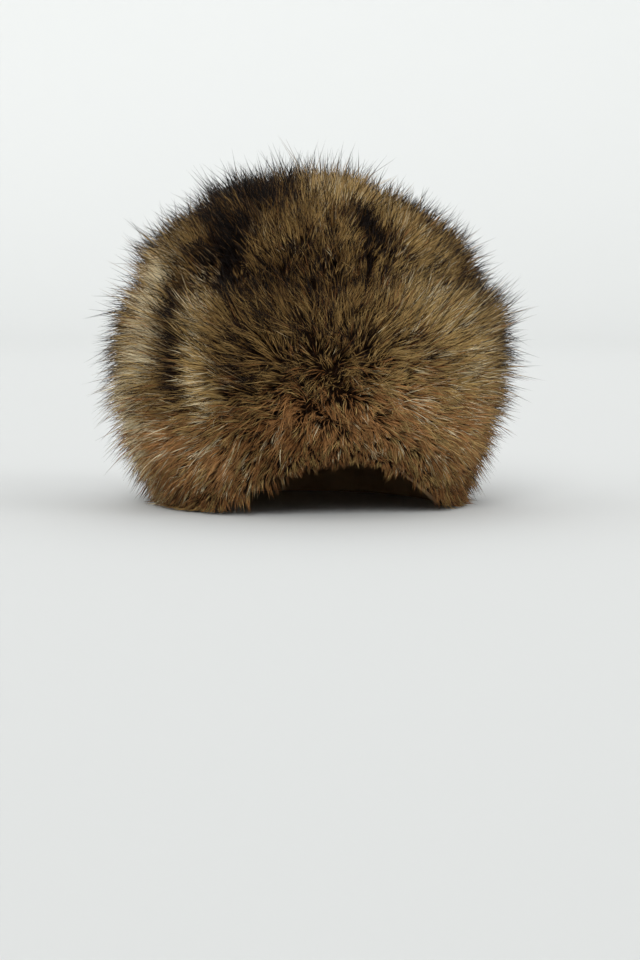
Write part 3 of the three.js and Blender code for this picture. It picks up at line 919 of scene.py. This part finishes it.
def marked(points):
    """Shares of the kinds of hair at each point, and how light the hairs are there, with the painted
    shade along the furrows.
    """
    light = MOTTLE * drift(points, MOTTLE_LENGTH, SEEDS["mottle"])[:, 0]
    low = smoothstep(-points[:, 2], -LOW_HAIRS_END, -LOW_HAIRS_FULL)[:, None]
    kinds = PLAIN_HAIRS * (1 - low) + low * LOW_HAIRS
    for start, end, reach, strength, mark_hairs, mark_light in MARKINGS.values():
        run = np.array(end) - start
        along = np.clip((points - start) @ run / (run @ run), 0, 1)
        away = np.linalg.norm(points - start - along[:, None] * run, axis=1)
        weight = strength * hollowing(away, reach)
        kinds = kinds * (1 - weight[:, None]) + weight[:, None] * np.array(mark_hairs)
        light = light * (1 - weight) + weight * mark_light
    return kinds, light


def grow_hairs(region, seed, settings):
    """Grows a region's hairs and returns them as arrays, with underhairs before guard hairs."""
    rng = np.random.default_rng(seed)
    area = fur_area(region)
    underhairs = round(area * settings.underhair_per_cm2)
    count = underhairs + round(area * settings.guard_per_cm2)
    guard = np.arange(count) >= underhairs
    tufts = round(area / (settings.tuft_spacing * 100) ** 2)
    climb, angle = scatter_roots(region, count + tufts, rng)
    foot, tip = region.foot(climb, angle), region.tip(climb, angle)
    full = tip - foot
    out = unit(full)
    depth = length_of(full) * loft(region, climb, angle)[:, None]
    lean = lie(region, climb, angle, tip, out)
    lean += square_to(drift(tip, DRIFT_LENGTH, SEEDS["drift"]) * DRIFT_TURN, out)

    # The last rows are the tufts' own guide hairs
    hairs, guides = slice(0, count), slice(count, None)
    tree = kdtree.KDTree(tufts)
    for number, point in enumerate(tip[guides]):
        tree.insert(point, number)
    tree.balance()
    nearest = np.array([tree.find(point)[1] for point in tip[hairs]])
    tuft_turn = square_to(rng.normal(size=(tufts, 3)) * TUFT_TURN, out[guides])
    tuft_length = rng.uniform(*TUFT_LENGTHS, tufts)[:, None]
    tuft_tone = rng.random(tufts)

    def by_kind(name):
        """A value of the two kinds of hair, for each hair."""
        return np.where(guard, GUARD[name], UNDERHAIR[name])

    root_share = settings.root_depth * rng.uniform(*ROOT_SPREAD, count)[:, None]
    reach = np.where(
        guard, settings.guard_reach * rng.uniform(*GUARD["lengths"], count),
        settings.underhair_reach * rng.uniform(*UNDERHAIR["lengths"], count),
    )[:, None] * tuft_length[nearest]
    if region is CROWN:
        longer = TOP_LENGTH * by_kind("longer")
        reach *= 1 + (longer * smoothstep(climb[hairs], *CLIMB_LONGER))[:, None]
    own_turn = rng.normal(size=(count, 3)).clip(-TURN_LIMIT, TURN_LIMIT) * by_kind("turn")[:, None]
    base = foot[hairs] + full[hairs] * root_share
    guide_base = foot[guides][nearest] + full[guides][nearest] * root_share
    start = length_of(full[hairs]) * root_share
    run = depth[hairs] * reach - start
    rim = region.arched * (1 - smoothstep(climb[hairs], *CLIMB_AT_RIM))[:, None]
    hanging = rim * (1 - brow_arch(angle[hairs]))[:, None]
    hanging *= (rng.uniform(*RIM_RUN_SPREAD, count) * by_kind("hangs"))[:, None]
    run = np.maximum(run, SHORTEST_RUN + RIM_RUN * hanging)
    brow_end = smoothstep(np.cos(angle[hairs]), *FACING_FOLDS)[:, None]
    low = region.arched * (1 - smoothstep(climb[hairs], *CLIMB_LOW))[:, None]
    outward = out[hairs] * (1 - np.maximum(RIM_FOLD * rim * brow_end, LOW_FOLD * low))
    gathering = settings.gathering * by_kind("gathers")[:, None]

    def along(t):
        """Points of all the hairs at a share t of their length."""
        bent = EARLY_BEND * t + (1 - EARLY_BEND) * t * t
        own = base + run * (outward * t + (lean[hairs] + own_turn) * bent)
        guide = guide_base + run * (outward * t + (lean[guides] + tuft_turn)[nearest] * bent)
        points = own + (guide - own) * gathering * t**GATHER_CURVE
        points[:, 2] = np.maximum(points[:, 2], HAIR_CLEARANCE)
        return points

    def shown(t):
        """Points of the hairs, moved in or out to where the dense fur shows."""
        return along(t) + out[hairs] * (SHOWN * depth[hairs] - start - run * t)

    seen = shown(KIND_PLACE)
    kinds = marked(seen)[0]
    draw = KIND_BY_TUFT * tuft_tone[nearest] + KIND_BY_HAIR * rng.random(count)
    draw += KIND_BY_PLACE * drift(seen, MOTTLE_LENGTH, SEEDS["kinds"])[:, 0]
    draw = np.argsort(np.argsort(draw)) / count
    kind = (draw[:, None] > np.cumsum(kinds, axis=1)[:, :-1]).sum(axis=1)
    tone = TONE_MIDDLE + TONE_BY_TUFT * (rng.random(tufts)[nearest] - 0.5)
    tone += TONE_BY_HAIR * (rng.random(count) - 0.5)
    # Painted shade: hairs near the seam between band and crown are darkened, where the fur dips in a
    # furrow
    tone -= SEAM_PAINTED_SHADE * hollowing(region.from_edge(climb[hairs]), SEAM_PAINTED_SHADE_REACH)
    guard_end = GUARD_END + GUARD_END_RISE * smoothstep(tip[hairs][:, 2], *HIGH_FUR)
    end = np.where(guard, guard_end, UNDERHAIR_END + UNDERHAIR_END_SPREAD * rng.random(count))
    width = np.where(guard, settings.guard_width, settings.underhair_width)
    width = width * rng.uniform(*WIDTH_SPREAD, count)
    return {
        "along": along, "shown": shown, "guard": guard, "width": width, "kind": kind, "end": end,
        "tone": tone, "climb": climb[hairs], "angle": angle[hairs],
        "tip": tip[hairs], "roll": rng.normal(size=(count, 3)),
    }


def strand_block(hairs, chosen, bends):
    """Closed spindles for the chosen hairs: a root, a ring of three for each bend, and a tip.

    Returns their points, their corners as rows of point numbers, and the points' map places.
    """
    line = [hairs["along"](t)[chosen] for t in (0, *bends, 1)]
    count = len(chosen)
    radius = hairs["width"][chosen][:, None] / 2
    points, shares = [line[0][:, None]], [0.0]
    across = hairs["roll"][chosen]
    for number in range(1, len(line) - 1):
        tangent = unit(line[number + 1] - line[number - 1])
        across = unit(square_to(across, tangent))
        beside = np.cross(tangent, across)
        reach = radius * RING_WIDTHS[number - 1]
        ring = [
            line[number] + reach * (math.cos(turn) * across + math.sin(turn) * beside)
            for turn in (0, 2 * math.pi / 3, 4 * math.pi / 3)
        ]
        points.append(np.stack(ring, axis=1))
        shares += [bends[number - 1]] * 3
    points.append(line[-1][:, None])
    shares.append(1.0)
    points = np.concatenate(points, axis=1)
    per_hair = points.shape[1]

    side = [(1, 2), (2, 3), (3, 1)]
    last = per_hair - 1
    step = 3 * (len(bends) - 1)
    faces = [(0, b, a) for a, b in side]
    faces += [(a + step, b + step, last) for a, b in side]
    if step:
        faces += [(a, b, b + step, a + step) for a, b in side]
    first = np.arange(count)[:, None] * per_hair
    loops = [(first + np.array(face)[None]).ravel() for face in faces]
    sizes = [np.full(count, len(face)) for face in faces]

    along = np.array(shares)[None] * (hairs["end"][chosen][:, None] - MAP_MARGIN) + MAP_MARGIN
    v = (hairs["kind"][chosen][:, None] + along) / len(HAIR_COLOURS)
    shift = np.array([0.0] + [-MAP_SPREAD, 0.0, MAP_SPREAD] * len(bends) + [0.0])
    light = np.stack([marked(hairs["shown"](t)[chosen])[1] for t in (0, *bends, 1)], axis=1)
    light = np.repeat(light, [1] + [3] * len(bends) + [1], axis=1)
    u = np.clip(hairs["tone"][chosen][:, None] + light, 0.01, 0.99) + shift
    places = np.stack([u, v], axis=-1)
    return points.reshape(-1, 3), np.concatenate(loops), np.concatenate(sizes), places.reshape(-1, 2)


def hair_mesh(name, hairs, chosen):
    """One mesh of the chosen hairs, with the hair map and a copy of it for baking."""
    guard = hairs["guard"][chosen]
    under = strand_block(hairs, chosen[~guard], UNDERHAIR["bends"])
    over = strand_block(hairs, chosen[guard], GUARD["bends"])
    points = np.concatenate([under[0], over[0]])
    corners = np.concatenate([under[1], over[1] + len(under[0])])
    sizes = np.concatenate([under[2], over[2]])
    places = np.concatenate([under[3], over[3]])[corners]
    mesh = bpy.data.meshes.new(name)
    mesh.vertices.add(len(points))
    mesh.vertices.foreach_set("co", points.astype(np.float32).ravel())
    mesh.loops.add(len(corners))
    mesh.loops.foreach_set("vertex_index", corners.astype(np.int32))
    mesh.polygons.add(len(sizes))
    starts = np.concatenate(([0], np.cumsum(sizes)[:-1]))
    mesh.polygons.foreach_set("loop_start", starts.astype(np.int32))
    mesh.update(calc_edges=True)
    for map_name in ("HairMap", "OFBake"):
        layer = mesh.uv_layers.new(name=map_name)
        layer.data.foreach_set("uv", places.astype(np.float32).ravel())
    mesh.uv_layers["HairMap"].active_render = True
    mesh.uv_layers.active = mesh.uv_layers["HairMap"]
    mesh.shade_smooth()
    return mesh


def shared_hair_material(scene):
    """The material of all the hairs, made once."""
    return bpy.data.materials.get("raccoon hair") or hair_material(scene.hat_colours)


class HAT_OT_leather(bpy.types.Operator):
    """Makes the leather walls of the crown and the band"""

    bl_idname = "hat.leather"
    bl_label = "Leather"

    def execute(self, context):
        material = leather_material(context.scene.hat_leather)
        add_piece(leather_crown_mesh(), material, "crown_body")
        add_piece(leather_band_mesh(), material, "band_body")
        return {"FINISHED"}


class HAT_OT_underwool(bpy.types.Operator):
    """Makes the dense wool under the hairs of each pelt"""

    bl_idname = "hat.underwool"
    bl_label = "Underwool"

    def execute(self, context):
        material = wool_material(context.scene.hat_leather)
        reach = context.scene.hat_fur.root_depth * WOOL_OVER_ROOTS
        crown_cuts = {
            "crown_centre": [("right", "right"), ("left", "left")],
            "crown_left": [("left", "right")],
            "crown_right": [("right", "left")],
        }
        for place, cuts in crown_cuts.items():
            add_fur(wool_crown_mesh(f"{place}_wool", cuts, reach), material)
        right, left = BAND_SEAMS["right"], BAND_SEAMS["left"]
        ends_of = {"band_front": (right, left), "band_back": (left, right + 2 * math.pi)}
        for place, ends in ends_of.items():
            add_fur(wool_band_mesh(f"{place}_wool", *ends, reach), material)
        return {"FINISHED"}


class HAT_OT_crown_fur(bpy.types.Operator):
    """Grows the hairs of the three crown pelts"""

    bl_idname = "hat.crown_fur"
    bl_label = "Crown fur"

    def execute(self, context):
        material = shared_hair_material(context.scene)
        hairs = grow_hairs(CROWN, SEEDS["crown"], context.scene.hat_fur)
        beyond = {}
        for side in CROWN_SEAMS:
            normal, offset = crown_plane(side)
            beyond[side] = hairs["tip"] @ normal > offset
        pelts = {
            "crown_centre": beyond["right"] & ~beyond["left"],
            "crown_left": beyond["left"],
            "crown_right": ~beyond["right"],
        }
        for place, inside in pelts.items():
            add_fur(hair_mesh(f"{place}_hair", hairs, np.flatnonzero(inside)), material)
        return {"FINISHED"}


class HAT_OT_band_fur(bpy.types.Operator):
    """Grows the hairs of the two band pelts, each in an upper and a lower piece"""

    bl_idname = "hat.band_fur"
    bl_label = "Band fur"

    def execute(self, context):
        material = shared_hair_material(context.scene)
        hairs = grow_hairs(BAND, SEEDS["band"], context.scene.hat_fur)
        angle = hairs["angle"]
        front = (angle > BAND_SEAMS["right"]) & (angle < BAND_SEAMS["left"])
        for place, inside in (("band_front", front), ("band_back", ~front)):
            middle = np.median(hairs["climb"][inside])
            upper = hairs["climb"] > middle
            for level, part in (("upper", upper), ("lower", ~upper)):
                mesh = hair_mesh(f"{place}_hair_{level}", hairs, np.flatnonzero(inside & part))
                add_fur(mesh, material)
        return {"FINISHED"}


def broad_light(name, source, strength, degrees):
    """Even light from the side of a place, as from a big far screen."""
    lamp = bpy.data.lights.new(name, "SUN")
    lamp.energy, lamp.angle = strength, math.radians(degrees)
    light = bpy.data.objects.new(name, lamp)
    bpy.context.scene.collection.objects.link(light)
    light.rotation_euler = (-Vector(source)).to_track_quat("-Z", "Y").to_euler()


class HAT_OT_stage(bpy.types.Operator):
    """Makes the studio sweep, the lights and the camera"""

    bl_idname = "hat.stage"
    bl_label = "Stage"

    def execute(self, context):
        settings = context.scene.hat_stage
        shape = bmesh.new()
        profile = [(0, 0), (FLOOR_RADIUS, 0)]
        for step in range(1, BEND_STEPS + 1):
            turn = step / BEND_STEPS * math.pi / 2
            profile.append(
                (FLOOR_RADIUS + BEND_RADIUS * math.sin(turn), BEND_RADIUS * (1 - math.cos(turn)))
            )
        profile.append((FLOOR_RADIUS + BEND_RADIUS, WALL_HEIGHT))
        verts = [shape.verts.new((x, 0, z)) for x, z in profile]
        edges = [shape.edges.new(pair) for pair in zip(verts, verts[1:])]
        bmesh.ops.spin(
            shape, geom=verts + edges, cent=(0, 0, 0), axis=(0, 0, 1), angle=2 * math.pi,
            steps=96, use_merge=True,
        )
        bmesh.ops.remove_doubles(shape, verts=shape.verts[:], dist=CLOSE)
        sweep = add_object(mesh_from(shape, "studio_sweep"), sweep_material(settings))

        for light in LIGHTS:
            broad_light(*light)

        world = bpy.data.worlds.new("studio_air")
        world.use_nodes = True
        backdrop = world.node_tree.nodes["Background"]
        backdrop.inputs["Color"].default_value = (1, 1, 1, 1)
        backdrop.inputs["Strength"].default_value = AIR_STRENGTH
        context.scene.world = world
        context.scene.view_settings.view_transform = "Standard"

        back = Vector((
            math.sin(settings.azimuth) * math.cos(settings.elevation),
            -math.cos(settings.azimuth) * math.cos(settings.elevation),
            math.sin(settings.elevation),
        ))
        lens = bpy.data.cameras.new("camera")
        lens.lens = lens.sensor_width * settings.distance / (PIXEL * FRAME_HEIGHT)
        camera = bpy.data.objects.new("camera", lens)
        context.scene.collection.objects.link(camera)
        camera.location = AIM + back * settings.distance
        camera.rotation_euler = (-back).to_track_quat("-Z", "Y").to_euler()
        context.scene.camera = camera
        return {"FINISHED"}


class HAT_PT_panel(bpy.types.Panel):
    """Buttons that make the hat, and its sizes and colours"""

    bl_idname = "HAT_PT_panel"
    bl_label = "Fur hat"
    bl_space_type = "VIEW_3D"
    bl_region_type = "UI"
    bl_category = "Fur hat"

    def draw(self, context):
        for operator in OPERATORS:
            self.layout.operator(operator.bl_idname)
        for group in GROUPS:
            box = self.layout.box()
            for name in GROUPS[group].__annotations__:
                box.prop(getattr(context.scene, group), name)


GROUPS = {
    "hat_fur": FurSettings,
    "hat_colours": HairColours,
    "hat_leather": LeatherSettings,
    "hat_stage": StageSettings,
}
OPERATORS = (HAT_OT_stage, HAT_OT_leather, HAT_OT_underwool, HAT_OT_crown_fur, HAT_OT_band_fur)


def register():
    """Makes the settings, the operators and the panel known."""
    for settings in (*GROUPS.values(), *OPERATORS, HAT_PT_panel):
        bpy.utils.register_class(settings)
    for group, settings in GROUPS.items():
        setattr(bpy.types.Scene, group, bpy.props.PointerProperty(type=settings))


def unregister():
    """Takes them away again."""
    for group in GROUPS:
        delattr(bpy.types.Scene, group)
    for settings in (HAT_PT_panel, *reversed(OPERATORS), *reversed(GROUPS.values())):
        bpy.utils.unregister_class(settings)


def main():
    register()
    bpy.ops.hat.stage()
    bpy.ops.hat.leather()
    bpy.ops.hat.underwool()
    bpy.ops.hat.crown_fur()
    bpy.ops.hat.band_fur()


if __name__ == "__main__":
    main()
